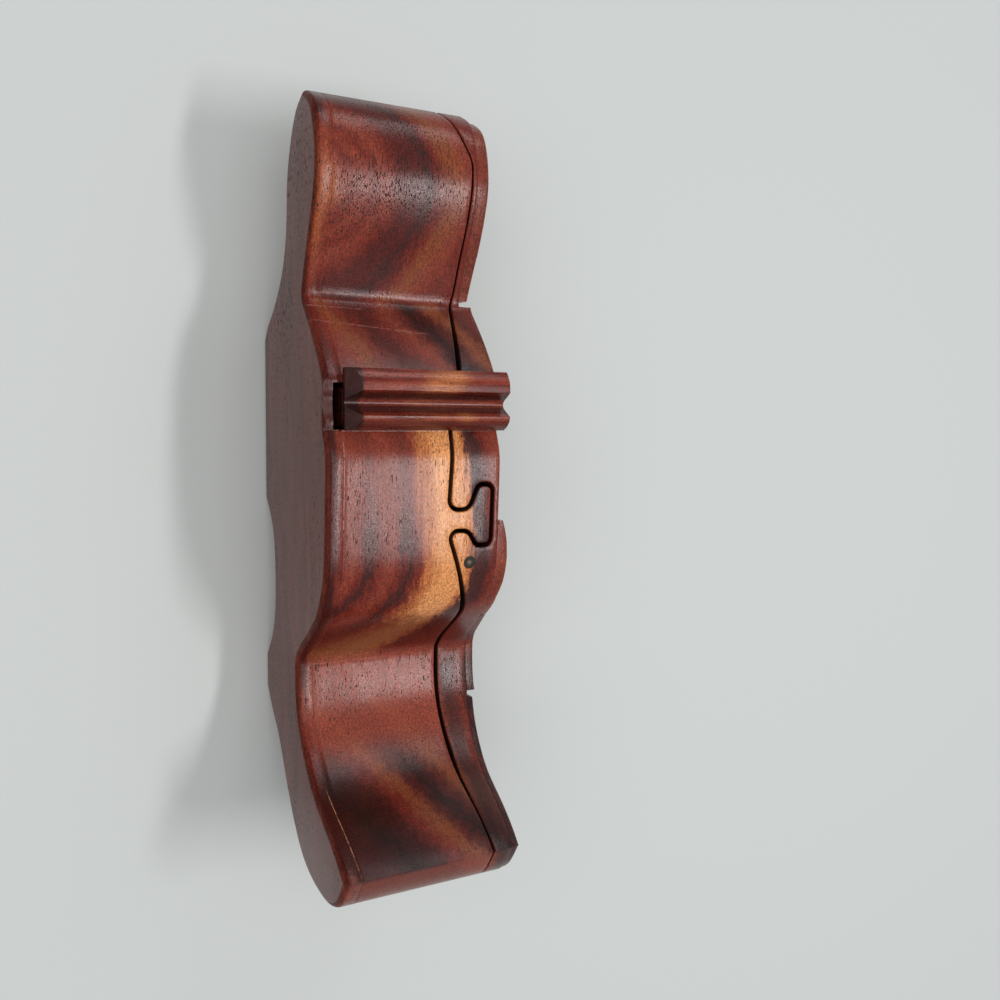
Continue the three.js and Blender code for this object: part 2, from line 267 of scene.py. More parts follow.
class PlanEdge:
    # edge of a piece in plan, from the head to the tail, each point with its place on the outline over and under it
    def __init__(self, points, facing):
        self.points, self.facing = points, unit(facing)
        self.top = outline.onTop(points[:, 0])
        self.under = outline.below(points[:, 0])
        self.top[0], self.under[0] = 0, outline.length
        self.top[-1] = self.under[-1] = outline.at[outline.turn]


def flatEdge(depth, sign):
    # sign is 1 where the piece ends towards the front, and -1 where it ends towards the back
    return PlanEdge(np.column_stack([xs, np.full(len(xs), float(depth))]), np.tile((0.0, float(sign)), (len(xs), 1)))


def seamEdge(side):
    edge, toGap = seamSide(side)
    first = int(np.argmax(edge[:, 0] < seam["tabX"] + seam["overhang"]))
    last = len(edge) - int(np.argmax(edge[::-1, 0] > seam["tabX"] - seam["overhang"])) - 1
    parts = [(xs[xs > edge[first, 0] + seam["clear"]], slice(0, first + 1)),
             (xs[xs < edge[last, 0] - seam["clear"]], slice(last, len(edge)))]
    runs = []
    for part, chunk in parts:
        order = np.argsort(edge[chunk, 0])
        depth, faceX, faceD = (np.interp(part, edge[chunk, 0][order], values[chunk][order])
                               for values in (edge[:, 1], toGap[:, 0], toGap[:, 1]))
        runs.append((np.column_stack([part, depth]), np.column_stack([faceX, faceD])))
    points, facing = (np.vstack([runs[0][k], middle, runs[1][k]])
                      for k, middle in ((0, edge[first:last + 1]), (1, toGap[first:last + 1])))
    return PlanEdge(points, facing)


# meshes: rings of points, joined by quads and closed by triangulated areas

def nearest(points, others):
    # distance from each point to the closest of the others
    return np.array([np.min(np.hypot(*(others - p).T)) for p in points])


def insideOf(points, polygon):
    ax, ay = polygon[:, 0], polygon[:, 1]
    bx, by = np.roll(ax, -1), np.roll(ay, -1)
    inside = np.zeros(len(points), bool)
    for i, (px, py) in enumerate(points):
        cross = (ay > py) != (by > py)
        at = ax[cross] + (py - ay[cross]) * (bx[cross] - ax[cross]) / (by[cross] - ay[cross])
        inside[i] = np.sum(px < at) % 2 == 1
    return inside


def triangulated(loops, grid=(), edges=()):
    # points and faces of the area inside the first loop and outside the others
    coords, rings = [], []
    for loop in loops:
        rings.append(list(range(len(coords), len(coords) + len(loop))))
        coords += [Vector(p) for p in loop]
    coords += [Vector(p) for p in grid]
    flat, _, faces, origin, _, covers = delaunay_2d_cdt(coords, list(edges), rings, 1, 1e-5, True)
    inner = set(range(1, len(loops)))
    faces = [face for face, cover in zip(faces, covers) if 0 in cover and not inner & set(cover)]
    return flat, faces, origin


def ringFaces(rings):
    n = len(rings[0])
    return [(low[i], low[(i + 1) % n], high[(i + 1) % n], high[i])
            for low, high in zip(rings[:-1], rings[1:]) for i in range(n)]


def capFaces(verts, ids, area, newPoint):
    # triangulated area that ends in points which are there already, with its own new ones added
    flat, faces, origin = area
    place = {}
    for k, sources in enumerate(origin):
        source = min(sources) if sources else len(ids)
        if source < len(ids):
            place[k] = ids[source]
        else:
            verts.append(newPoint(*flat[k]))
            place[k] = len(verts) - 1
    out = [tuple(dict.fromkeys(place[v] for v in face)) for face in faces]
    return [face for face in out if len(face) > 2]


def addRow(verts, row):
    verts.extend(row.tolist())
    return list(range(len(verts) - len(row), len(verts)))


def insetLoop(loop, radius):
    # loop moved inwards, with the parts that would cross drawn together
    inner = loop - loopNormals(loop) * radius
    bad = (nearest(inner, loop) < radius * 0.985 - 0.002) | ~insideOf(inner, loop)
    good = np.where(~bad)[0]
    out = inner.copy()
    for i in np.where(bad)[0] if len(good) else ():
        gaps = (good - i + len(loop) / 2) % len(loop) - len(loop) / 2
        out[i] = inner[good[np.argmin(np.abs(gaps))]]
    return out


def cleaned(mesh, merge, sharp, rebuilt=False):
    # points closer than merge in mm become one, and the count of open edges comes back
    work = bmesh.new()
    work.from_mesh(mesh)
    bmesh.ops.remove_doubles(work, verts=work.verts, dist=merge * mm)
    if rebuilt:
        bmesh.ops.dissolve_degenerate(work, edges=work.edges, dist=merge * mm / 2)
        bmesh.ops.recalc_face_normals(work, faces=work.faces)
    openEdges = sum(1 for e in work.edges if len(e.link_faces) != 2)
    work.to_mesh(mesh)
    work.free()
    mesh.shade_smooth()
    mesh.set_sharp_from_angle(angle=math.radians(sharp))
    return openEdges


def asObject(name, verts, faces, sharp=34, quiet=False):
    # the points come as x, depth and z in mm
    verts = np.array(verts, float)
    mesh = bpy.data.meshes.new(name)
    place = np.column_stack([verts[:, 0], halfDepth - verts[:, 1], verts[:, 2]]) * mm
    mesh.from_pydata(place.tolist(), [], faces)
    mesh.update()
    openEdges = cleaned(mesh, 0.02, sharp, True)
    piece = bpy.data.objects.new(name, mesh)
    scene.collection.objects.link(piece)
    if not quiet:
        print(name, len(mesh.vertices), "points", len(mesh.polygons), "faces, open edges", openEdges)
    return piece


def cutAway(piece, cutters, sharp=34):
    tools = []
    for number, (verts, faces) in enumerate(cutters):
        tools.append(asObject(piece.name + "Cutter" + str(number), verts, faces, quiet=True))
        cut = piece.modifiers.new("cut" + str(number), "BOOLEAN")
        cut.operation = "DIFFERENCE"
        cut.solver = "MANIFOLD"
        cut.object = tools[-1]
    bpy.context.view_layer.update()
    baked = bpy.data.meshes.new_from_object(piece.evaluated_get(bpy.context.evaluated_depsgraph_get()))
    piece.modifiers.clear()
    piece.data = baked
    for tool in tools:
        bpy.data.objects.remove(tool)
    print(piece.name, "cut, open edges", cleaned(baked, 0.005, sharp))


def softened(piece, width, angle):
    bevel = piece.modifiers.new("soften", "BEVEL")
    bevel.width = width * mm
    bevel.segments = 2
    bevel.limit_method = "ANGLE"
    bevel.angle_limit = math.radians(angle)


def prism(section, low, high, upright=False):
    # section in x and z held between two depths, or section in x and depth held between two heights
    n = len(section)
    verts = [(x, v, level) if upright else (x, level, v) for level in (low, high) for x, v in section]
    rings = [list(range(n)), list(range(n, 2 * n))]
    return np.array(verts, float), [tuple(ring) for ring in rings] + ringFaces(rings)


# slab: the block's section between two edges in plan, with rounded lips

slabWork = {
    "settleFrom": 0.5,  # lips wider than this need their corners settled
    "rowStep": 1.6, "clear": 0.55,
    "sense": 0.01,
}


def lipRows(points, facing, places, radius, parts):
    spot, normal = outline.place(places)
    q = np.column_stack([spot[:, 0], points[:, 1], spot[:, 1]])
    n = np.column_stack([normal[:, 0], np.zeros(len(normal)), normal[:, 1]])
    w = np.column_stack([facing, np.zeros(len(q))])
    centre = q - radius * (n + w) / (1 + np.sum(n * w, axis=1)[:, None])
    angles = [math.pi / 2 * k / parts for k in range(parts + 1)]
    rows = [centre + radius * unit(n * math.cos(a) + w * math.sin(a)) for a in angles]
    return rows, q, n


def settleCorners(rows, radius):
    # where a wide lip would cross itself at a sharp corner of the outline, its inner rows meet in one point
    wall = rows[-1]
    bad = nearest(wall[:, [0, 2]], outline.loop) < radius * 0.97 - 0.01
    for i in np.where(bad)[0]:
        a = b = i
        while bad[a] and a > 0:
            a -= 1
        while bad[b] and b < len(wall) - 1:
            b += 1
        target, start = wall[a if i - a <= b - i else b], rows[0][i].copy()
        for k, row in enumerate(rows):
            share = math.cos(math.pi / 2 * k / (len(rows) - 1))
            for axis in (0, 2):
                row[i, axis] = target[axis] + (start[axis] - target[axis]) * share


def slab(backEdge, frontEdge, backLip, frontLip, parts):
    verts, faces, flats, rims = [], [], [], []
    for edge, radius, count in ((backEdge, backLip, parts[0]), (frontEdge, frontLip, parts[1])):
        points = np.vstack([edge.points, edge.points[::-1][1:]])
        facing = np.vstack([edge.facing, edge.facing[::-1][1:]])
        places = np.r_[edge.top, edge.under[::-1][1:]]
        rows, q, n = lipRows(points, facing, places, radius, count)
        if radius > slabWork["settleFrom"]:
            settleCorners(rows, radius)
        tangent = np.column_stack([-n[:, 2], np.zeros(len(n)), n[:, 0]])
        ahead, behind = (outline.place(np.clip(places + move, 0, outline.length))[0]
                         for move in (slabWork["sense"], -slabWork["sense"]))
        sign = np.sign(np.sum(tangent[:, [0, 2]] * (ahead - behind), axis=1))
        shift = np.sum((rows[0] - q) * tangent, axis=1) * sign
        flat = np.column_stack([np.clip(places + shift, 0, outline.length), rows[0][:, 1]])
        flat[0, 0], flat[-1, 0] = 0, outline.length
        rings = [addRow(verts, row[:-1]) for row in rows]
        faces += ringFaces(rings)
        wall = rings[-1]
        for i in range(len(edge.points) - 1):
            corners = tuple(dict.fromkeys((wall[i], wall[i + 1], wall[-i - 1], wall[-i % len(wall)])))
            if len(corners) > 2:
                faces.append(corners)
        flats.append(flat)
        rims.append(rings[0])

    # the outer surface is laid flat along the outline, filled with points and wrapped back
    polygon = np.vstack([flats[0], flats[1][::-1]])
    polyIds = rims[0] + rims[0][:1] + rims[1][:1] + rims[1][::-1]
    depths = np.arange(flats[0][:, 1].min() + slabWork["rowStep"] / 2, flats[1][:, 1].max(), slabWork["rowStep"])
    grid = np.array([(s, d) for s in outline.at[2:-1:2] for d in depths])
    grid = grid[insideOf(grid, polygon)]
    grid = grid[nearest(grid, polygon) > slabWork["clear"]]

    def wrapped(s, depth):
        spot, _ = outline.place([s])
        return [spot[0, 0], depth, spot[0, 1]]

    return verts, faces + capFaces(verts, polyIds, triangulated([polygon], grid), wrapped)


# plate: the area of one loop, less the loops inside it, with rounded rims at its two faces

def innerGrid(loops, step):
    low, high = loops[0].min(0), loops[0].max(0)
    grid = np.array([(x, z) for x in np.arange(low[0] + step / 2, high[0], step)
                     for z in np.arange(low[1] + step / 2, high[1], step)])
    for k, loop in enumerate(loops):
        grid = grid[insideOf(grid, loop) == (k == 0)]
        grid = grid[nearest(grid, loop) > step * 0.35]
    return grid


def plate(loops, backAt, frontAt, backRim, frontRim, parts, gridStep):
    # backAt and frontAt give the depth at x and z
    verts, faces, edges, ids = [], [], ([], []), ([], [])
    for number, loop in enumerate(loops):
        rings = []
        for side, rim, depthAt in ((0, backRim, backAt), (1, frontRim, frontAt)):
            inner = loop + loopNormals(loop) * rim if number else insetLoop(loop, rim)
            angles = [math.pi / 2 * k / parts[side] for k in range(parts[side] + 1)]
            for a in angles if side else angles[::-1]:
                x, z = (inner + (loop - inner) * math.cos(a)).T
                fall = rim * (1 - math.sin(a)) if side else -rim * (1 - math.sin(a))
                rings.append(addRow(verts, np.column_stack([x, depthAt(x, z) - fall, z])))
            edges[side].append(inner)
        faces += ringFaces(rings)
        ids[0].extend(rings[0])
        ids[1].extend(rings[-1])
    for side, depthAt in ((0, backAt), (1, frontAt)):
        area = triangulated(edges[side], innerGrid(edges[side], gridStep))
        faces += capFaces(verts, ids[side], area,
                          lambda x, z: [x, float(depthAt(np.array([x]), np.array([z]))[0]), z])
    return verts, faces


# wood, felt and other finishes

class Finish:
    # short names for the node work of one material
    def __init__(self, name, rough, level):
        self.material = bpy.data.materials.new(name)
        self.material.use_nodes = True
        self.tree = self.material.node_tree
        self.shader = self.tree.nodes["Principled BSDF"]
        self.shader.inputs["Roughness"].default_value = rough
        self.shader.inputs["Specular IOR Level"].default_value = level
        texture = self.tree.nodes.new("ShaderNodeTexCoord")
        self.place = self.scaled(texture.outputs["Object"], (1000, 1000, 1000))
        split = self.tree.nodes.new("ShaderNodeSeparateXYZ")
        self.tree.links.new(self.place, split.inputs[0])
        self.x, self.y, self.z = split.outputs
        self.depth = self.minus(halfDepth, self.y)

    def put(self, socket, value):
        if hasattr(value, "links"):
            self.tree.links.new(value, socket)
        elif value is not None:
            socket.default_value = value

    def calc(self, kind, a, b=None, c=None):
        node = self.tree.nodes.new("ShaderNodeMath")
        node.operation = kind
        for k, value in enumerate((a, b, c)):
            self.put(node.inputs[k], value)
        return node.outputs[0]

    def times(self, a, b, plus=0.0):
        return self.calc("MULTIPLY_ADD", a, b, plus)

    def plus(self, a, b):
        return self.calc("ADD", a, b)

    def minus(self, a, b):
        return self.calc("SUBTRACT", a, b)

    def reach(self, a, b):
        # distance from zero of two measures at right angles
        return self.calc("SQRT", self.times(a, a, self.times(b, b)))

    def scaled(self, vector, scale, offset=(0, 0, 0)):
        node = self.tree.nodes.new("ShaderNodeMapping")
        self.put(node.inputs["Vector"], vector)
        node.inputs["Scale"].default_value = scale
        node.inputs["Location"].default_value = offset
        return node.outputs[0]

    def joined(self, x, y, z):
        node = self.tree.nodes.new("ShaderNodeCombineXYZ")
        for k, value in enumerate((x, y, z)):
            self.put(node.inputs[k], value)
        return node.outputs[0]

    def noise(self, vector, scale, detail, rough):
        node = self.tree.nodes.new("ShaderNodeTexNoise")
        self.put(node.inputs["Vector"], vector)
        node.inputs["Scale"].default_value = scale
        node.inputs["Detail"].default_value = detail
        node.inputs["Roughness"].default_value = rough
        return node.outputs["Fac"]

    def cloud(self, rates, detail, rough, offset=(0, 0, 0)):
        # noise with its own rate per mm along x, y and z
        return self.noise(self.scaled(self.place, rates, offset), 1.0, detail, rough)

    def fibre(self, places, rates, detail, rough):
        # noise over three measures, each at its own rate
        return self.noise(self.joined(*[self.times(p, r) for p, r in zip(places, rates)]), 1.0, detail, rough)

    def swing(self, noise, amount, base=0.0):
        # noise made to swing about zero
        return self.times(self.minus(noise, 0.5), 2 * amount, base)

    def spread(self, value, fromLow, fromHigh, low=0.0, high=1.0, kind="SMOOTHSTEP"):
        node = self.tree.nodes.new("ShaderNodeMapRange")
        node.interpolation_type = kind
        for k, item in enumerate((value, fromLow, fromHigh, low, high)):
            self.put(node.inputs[k], item)
        return node.outputs[0]

    def line(self, value, fromLow, fromHigh, low=0.0, high=1.0):
        return self.spread(value, fromLow, fromHigh, low, high, "LINEAR")

    def window(self, value, low, high, soft):
        # 1 between low and high, fading over soft at both ends
        return self.times(self.spread(value, low - soft, low + soft),
                          self.spread(value, high - soft, high + soft, 1.0, 0.0))

    def mixed(self, factor, a, b, kind="MIX"):
        node = self.tree.nodes.new("ShaderNodeMix")
        node.data_type = "RGBA"
        node.blend_type = kind
        self.put(node.inputs[0], factor)
        for socket, value in ((node.inputs[6], a), (node.inputs[7], b)):
            self.put(socket, (*value, 1) if isinstance(value, tuple) else value)
        return node.outputs[2]

    def toned(self, colour, tone):
        return self.mixed(1.0, colour, self.joined(tone, tone, tone), "MULTIPLY")

    def ramp(self, value, stops):
        node = self.tree.nodes.new("ShaderNodeValToRGB")
        self.put(node.inputs[0], value)
        marks = node.color_ramp.elements
        while len(marks) < len(stops):
            marks.new(0.5)
        for mark, (position, colour) in zip(marks, stops):
            mark.position = position
            mark.color = (*colour, 1)
        return node.outputs[0]

    def bump(self, height, strength, distance, normal=None):
        node = self.tree.nodes.new("ShaderNodeBump")
        node.inputs["Strength"].default_value = strength
        node.inputs["Distance"].default_value = distance
        self.put(node.inputs["Height"], height)
        self.put(node.inputs["Normal"], normal)
        return node.outputs[0]

    def done(self, colour, rough, normal):
        for name, value in (("Base Color", colour), ("Roughness", rough), ("Normal", normal)):
            self.put(self.shader.inputs[name], value)
        return self.material


tones = {
    "ink": (0.020, 0.004, 0.003), "plum": (0.050, 0.011, 0.009), "smoke": (0.080, 0.021, 0.017),
    "garnet": (0.050, 0.005, 0.003), "oxblood": (0.090, 0.010, 0.006), "red": (0.165, 0.019, 0.010),
    "brick": (0.240, 0.040, 0.020), "umber": (0.230, 0.055, 0.018), "rust": (0.34, 0.080, 0.027),
    "amber": (0.52, 0.165, 0.050), "honey": (0.74, 0.300, 0.105), "clay": (0.31, 0.060, 0.034),
}
rosewood = {
    # colours across the growth rings in mm, for each stretch of the block
    # the tail's rings darken towards ink at its tip, partly the wood's own colour and partly painted shade
    "tail": [(-66, "ink"), (-54, "ink"), (-49, "garnet"), (-45, "garnet"), (-41, "ink"), (-36.5, "garnet"),
             (-33.5, "red"), (-31, "umber"), (-28.5, "oxblood"), (-25.5, "ink"), (-22.5, "oxblood"),
             (-19.5, "umber"), (-16, "red"), (-11, "brick"), (-5, "red"), (0, "plum")],
    "hump": [(0, "oxblood"), (3, "red"), (6, "brick"), (8, "red"), (10, "plum"), (12, "red"), (14.5, "brick"),
             (16.5, "red"), (18.3, "plum"), (20.3, "red"), (22, "rust"), (24, "amber"), (27, "honey"),
             (31.5, "honey"), (33.2, "amber"), (34.4, "smoke"), (37, "plum"), (39.0, "red"), (42, "brick"),
             (46, "brick"), (50, "red"), (54, "plum"), (58, "red"), (64, "brick"), (70, "oxblood")],
    "ledge": [(15, "oxblood"), (22, "red"), (25, "brick"), (28, "umber"), (30.5, "red"), (33, "oxblood"),
              (35, "oxblood"), (37.5, "red"), (40.5, "brick"), (43, "oxblood"), (45, "ink"), (47.5, "oxblood"),
              (50, "umber"), (53, "oxblood"), (57, "red"), (66, "oxblood")],
    # the head's rings from about 20 to 27 mm are the wood's own dark band, deepened as painted shade on the far slope
    # of the head
    "head": [(0, "rust"), (4, "rust"), (6.5, "brick"), (9, "red"), (10.5, "brick"), (13, "red"), (15, "brick"),
             (18, "red"), (20.5, "oxblood"), (24, "oxblood"), (25.5, "plum"), (27, "oxblood"), (29, "red"),
             (31.5, "umber"), (35, "brick"), (38, "red"), (43, "red"), (50, "brick"), (58, "oxblood"), (66, "red"),
             (74, "plum")],
    # colours along the rim of the back panel, by x
    "edge": [(-88, "oxblood"), (-81, "brick"), (-76, "garnet"), (-66, "garnet"), (-58, "red"), (-48, "brick"),
             (-42, "oxblood"), (-33, "garnet"), (-20, "garnet"), (-2, "oxblood"), (14, "garnet"), (30, "oxblood"),
             (44, "red"), (50, "brick"), (58, "rust"), (70, "rust"), (76, "brick"), (81, "garnet"), (88, "oxblood")],
    # how the rings wander: rates per mm along x, y and z, detail, roughness, offset and reach in mm
    "drifts": [((0.030, 0.075, 0.075), 2.0, 0.5, (0, 0, 0), 2.6), ((0.050, 0.62, 0.62), 2.0, 0.5, (0, 0, 0), 2.4),
               ((0.11, 2.3, 2.3), 3.0, 0.6, (5, 1, 3), 2.0)],
    # how far x and depth carry across the rings at the tail and the ledge
    "tailSlant": (0.68, 0.73), "ledgeSlant": (0.62, 0.78),
    # the rings bend over the hump beyond this x, and lie around the crest of the head at this x and z
    "humpBend": (-12.0, 0.8), "humpHeight": 45.0, "headCrest": (66.0, 38.0),
    # x where one stretch passes into the next
    "tailToHump": (-35.5, -40.0), "humpToLedge": (16.0, 24.0), "ledgeToHead": (42.6, 45.2),
    # plainer parts, and the slope behind the hump darkened as darker wood and as painted shade: x where each begins
    # and is full, and how strong it is there
    "calmTail": (-64.0, -55.0, 0.0, 0.78), "faintHump": (-12.0, 2.0, 0.0, 0.55), "faintDepth": (19.0, 22.0, 1.0, 0.0),
    "shadedHump": (-24.5, -30.5, 0.0, 0.76), "endGrain": (-77.5, -79.0, 0.0, 0.65),
    # dark strip at the front of the tail: depth where it begins, x, and its colours from one depth to another
    "stripFrom": (34.5, 37.5), "stripTail": (-36.0, -44.0, 0.0, 0.8), "stripDepths": (37, 43),
    "stripColours": [(0.0, "ink"), (0.5, "plum"), (0.75, "red"), (1.0, "ink")],
    "poreColour": (0.012, 0.004, 0.003), "poresFew": 0.69, "poresMany": 0.60, "poreDepth": 0.9,
    "rough": 0.26, "gloss": 0.38,
}
boards = {
    "panel": [(0.0, (0.045, 0.008, 0.006)), (0.4, (0.085, 0.014, 0.009)), (0.7, (0.125, 0.022, 0.012)),
              (1.0, (0.17, 0.036, 0.017))],
    "red": [(0.0, (0.12, 0.020, 0.012)), (0.5, (0.20, 0.036, 0.020)), (1.0, (0.30, 0.07, 0.036))],
    "dark": [(0.0, (0.024, 0.007, 0.008)), (0.5, (0.050, 0.012, 0.012)), (1.0, (0.11, 0.022, 0.016))],
}


def ringColour(f, field, stops):
    low, high = stops[0][0], stops[-1][0]
    marks = [((at - low) / (high - low), tones[name]) for at, name in stops]
    return f.ramp(f.line(field, low, high), marks)


def blockFigure(f, look):
    # growth rings as the curved top cuts them: slanting at the tail, bent over the hump, cupped at the head
    drift = 0.0
    for *cloud, amount in look["drifts"]:
        drift = f.swing(f.cloud(*cloud), amount, drift)

    def slanted(slant):
        return f.times(f.x, slant[0], f.times(f.depth, slant[1], drift))

    bendFrom, bendShare = look["humpBend"]
    bend = f.times(f.calc("MAXIMUM", f.minus(bendFrom, f.x), 0.0), bendShare)
    hump = f.plus(f.reach(bend, f.depth), drift)
    hump = f.times(f.x, 0.10, f.times(f.minus(look["humpHeight"], f.z), 0.45, hump))
    crestX, crestZ = look["headCrest"]
    head = f.plus(f.reach(f.minus(f.x, crestX), f.depth), drift)
    head = f.times(f.minus(crestZ, f.z), 0.35, head)

    colour = ringColour(f, hump, look["hump"])
    faint = f.times(f.spread(f.x, *look["faintHump"]), f.spread(f.depth, *look["faintDepth"]))
    colour = f.mixed(faint, colour, tones["brick"])
    # the slope behind the hump goes to oxblood, partly darker wood and partly painted shade
    slopeShadePlace = f.times(drift, 0.8, f.x)
    colour = f.mixed(f.spread(slopeShadePlace, *look["shadedHump"]), colour, tones["oxblood"])
    tail = ringColour(f, slanted(look["tailSlant"]), look["tail"])
    tail = f.mixed(f.spread(f.x, *look["calmTail"]), tail, tones["clay"])
    ledge = ringColour(f, slanted(look["ledgeSlant"]), look["ledge"])
    head = ringColour(f, head, look["head"])
    for change, other in (("tailToHump", tail), ("humpToLedge", ledge), ("ledgeToHead", head),
                          ("endGrain", tones["brick"])):
        colour = f.mixed(f.spread(f.x, *look[change]), colour, other)
    outer = f.times(drift, 0.5, f.depth)
    strip = f.times(f.spread(outer, *look["stripFrom"]), f.spread(f.x, *look["stripTail"]))
    marks = [(at, tones[name]) for at, name in look["stripColours"]]
    return f.mixed(strip, colour, f.ramp(f.line(outer, *look["stripDepths"]), marks))


def boardFigure(f, look):
    # straight figure along the board for the back panel and the relief pieces
    slow = f.cloud((0.012, 0.06, 0.06), 2.0, 0.5)
    across = f.times(f.x, 0.06, f.times(slow, 22.0, f.z))
    bands = f.fibre((f.x, f.depth, across), (0.012, 0.25, 0.42), 5.0, 0.66)
    return f.ramp(f.line(bands, 0.30, 0.70), look["board"])


def panelFigure(f, look):
    # plain board behind, with the colours of its edge where the rim and the top show them
    wander = f.cloud((0.09, 0.5, 0.5), 3.0, 0.6, (7, 2, 1))
    rim = ringColour(f, f.swing(wander, 6.0, f.x), look["edge"])
    colour = f.mixed(f.spread(f.depth, 0.2, 1.3), boardFigure(f, look), rim)
    inward = f.swing(wander, 0.6, f.depth)
    return f.mixed(f.spread(inward, 1.7, 3.2, 0.0, 0.85), colour, blockFigure(f, look))


grain = {
    # rates per mm along the fibre and across it, detail and roughness
    "fibres": ((0.09, 2.6, 2.6), 4.0, 0.68), "specks": ((1.9, 3.1, 3.1), 2.0, 0.6),
    "sanding": ((2.6, 3.4, 3.4), 2.0, 0.6), "pores": ((0.62, 4.2, 4.2), 1.0, 0.4),
    "crowd": ((0.05, 0.07, 0.07), 2.0, 0.5, (3, 1, 7)), "swell": ((0.10, 0.16, 0.16), 1.0, 0.4),
    # low and high of the noise, and the tone that each gives
    "fibreTone": (0.25, 0.75, 0.60, 1.40), "speckTone": (0.32, 0.68, 0.62, 1.38),
    "headPores": (26.0, 46.0, 0.035, -0.01), "poreEdge": 0.04,  # the head has more pores than the rest
    "poreHeight": -0.9, "sandingHeight": 0.55, "fibreHeight": 0.4,
    "swellBump": (0.13, 0.0011), "fineBump": (0.6, 0.00006), "roughSwing": (-0.06, 0.08), "poreRough": 0.5,
}


def woodGrain(f, colour, places, look):
    # fibres, pores and sanding marks over a colour, and the bump and gloss that go with them
    fibres, specks, sanding, spots = (f.fibre(places, *grain[name])
                                      for name in ("fibres", "specks", "sanding", "pores"))
    colour = f.toned(colour, f.times(f.line(fibres, *grain["fibreTone"]), f.line(specks, *grain["speckTone"])))
    edge = f.line(f.cloud(*grain["crowd"]), 0.35, 0.65, look["poresFew"], look["poresMany"])
    edge = f.plus(edge, f.spread(f.x, *grain["headPores"]))
    pores = f.spread(f.minus(spots, edge), 0.0, grain["poreEdge"])
    colour = f.mixed(f.times(pores, look["poreDepth"]), colour, look["poreColour"])
    height = f.times(sanding, grain["sandingHeight"], f.times(fibres, grain["fibreHeight"]))
    height = f.times(pores, grain["poreHeight"], height)
    normal = f.bump(f.cloud(*grain["swell"]), *grain["swellBump"])
    normal = f.bump(height, *grain["fineBump"], normal)
    rough = f.line(sanding, 0.3, 0.7, *[look["rough"] + swing for swing in grain["roughSwing"]])
    return colour, f.times(pores, grain["poreRough"], rough), normal


hairlines = {
    # painted highlight where the glue line catches the light: x from and to, how far back it starts, strength and
    # colour
    "glue": [(-6.5, 12.5, 0.0, 0.75, (0.62, 0.36, 0.33)), (-77.0, -65.5, 0.9, 0.8, (0.62, 0.27, 0.13)),
             (43.0, 50.0, 0.0, 0.4, (0.35, 0.12, 0.09))],
    "glueDepth": (3.74, 3.92, 0.05),
    # scratches, and a painted highlight along the crease at the foot of the head: x at depth 0, slant, depths from
    # and to, width, strength and colour
    "across": [(41.9, -0.02, 0.5, 13, 0.16, 0.55, (0.50, 0.24, 0.19)),
               (38.6, -0.075, 1, 27, 0.13, 0.6, (0.52, 0.26, 0.21)),
               (36.9, -0.02, 22, 24, 0.12, 0.5, (0.55, 0.3, 0.2)),
               (80.9, -0.02, 36.2, 39, 0.2, 0.55, (0.5, 0.2, 0.17)),
               (80.0, -0.02, 36.2, 39, 0.2, 0.5, (0.5, 0.2, 0.17)),
               # painted highlight along the crease at the foot of the head
               (44.9, 0.0, 3, 36, 0.35, 0.35, (0.45, 0.17, 0.13)),
               (-13.4, -0.01, 22, 32, 0.13, 0.35, (0.85, 0.5, 0.25)),
               (-39.2, 0.0, 3, 20, 0.25, 0.3, (0.45, 0.2, 0.17))],
    "waver": 0.3,
}


def marked(f, colour):
    broken = f.cloud((0.9, 0.9, 0.9), 3.0, 0.65, (3, 8, 2))
    worn = f.spread(broken, 0.36, 0.56)

    def drawn(under, line, strength, tone):
        return f.mixed(f.times(f.times(line, worn), strength), under, tone)

    # pale lines along the glue joint: the joint's own line with a painted highlight on it
    for low, high, back, strength, tone in hairlines["glue"]:
        # the line that starts short of the joint comes to it at its low end
        depth = f.plus(f.depth, f.line(f.x, low, high, 0.0, back))
        line = f.times(f.window(depth, *hairlines["glueDepth"]), f.window(f.x, low, high, 1.5))
        colour = drawn(colour, line, strength, tone)
    waver = hairlines["waver"]
    for at, slant, shallow, deep, width, strength, tone in hairlines["across"]:
        place = f.times(broken, waver, f.times(f.depth, -slant, f.x))
        line = f.window(place, at + (waver - width) / 2, at + (waver + width) / 2, 0.07)
        colour = drawn(colour, f.times(line, f.window(f.depth, shallow, deep, 0.8)), strength, tone)
    return colour


def wood(name, figure, withMarks=False, **changes):
    look = dict(rosewood, **changes)
    f = Finish(name, look["rough"], look["gloss"])
    colour, rough, normal = woodGrain(f, figure(f, look), (f.x, f.depth, f.z), look)
    return f.done(marked(f, colour) if withMarks else colour, rough, normal)


def sawnShadedWood(name):
    # faces left from the saw inside the box: darker both as sawn wood and as painted shade in the kerf and slots,
    # dull, with upright saw marks
    f = Finish(name, 0.7, 0.3)
    colour = f.mixed(1.0, blockFigure(f, rosewood), (0.14, 0.115, 0.11), "MULTIPLY")
    marks = f.fibre((f.x, f.depth, f.z), (1.6, 1.6, 0.12), 3.0, 0.6)
    return f.done(f.toned(colour, f.line(marks, 0.3, 0.7, 0.7, 1.25)), None, f.bump(marks, 0.5, 0.00015))


woodBlock = wood("blockWood", blockFigure, True)
woodFront = wood("frontWood", blockFigure, True)
woodSawnShaded = sawnShadedWood("sawnShadedWood")
woodPanel = wood("panelWood", panelFigure, True, board=boards["panel"])
woodRim = wood("rimWood", panelFigure, True, board=boards["panel"], rough=0.36, gloss=0.10)
woodFace = wood("faceWood", boardFigure, board=boards["panel"])
woodRed = wood("redReliefWood", boardFigure, board=boards["red"])
woodDark = wood("darkReliefWood", boardFigure, board=boards["dark"])


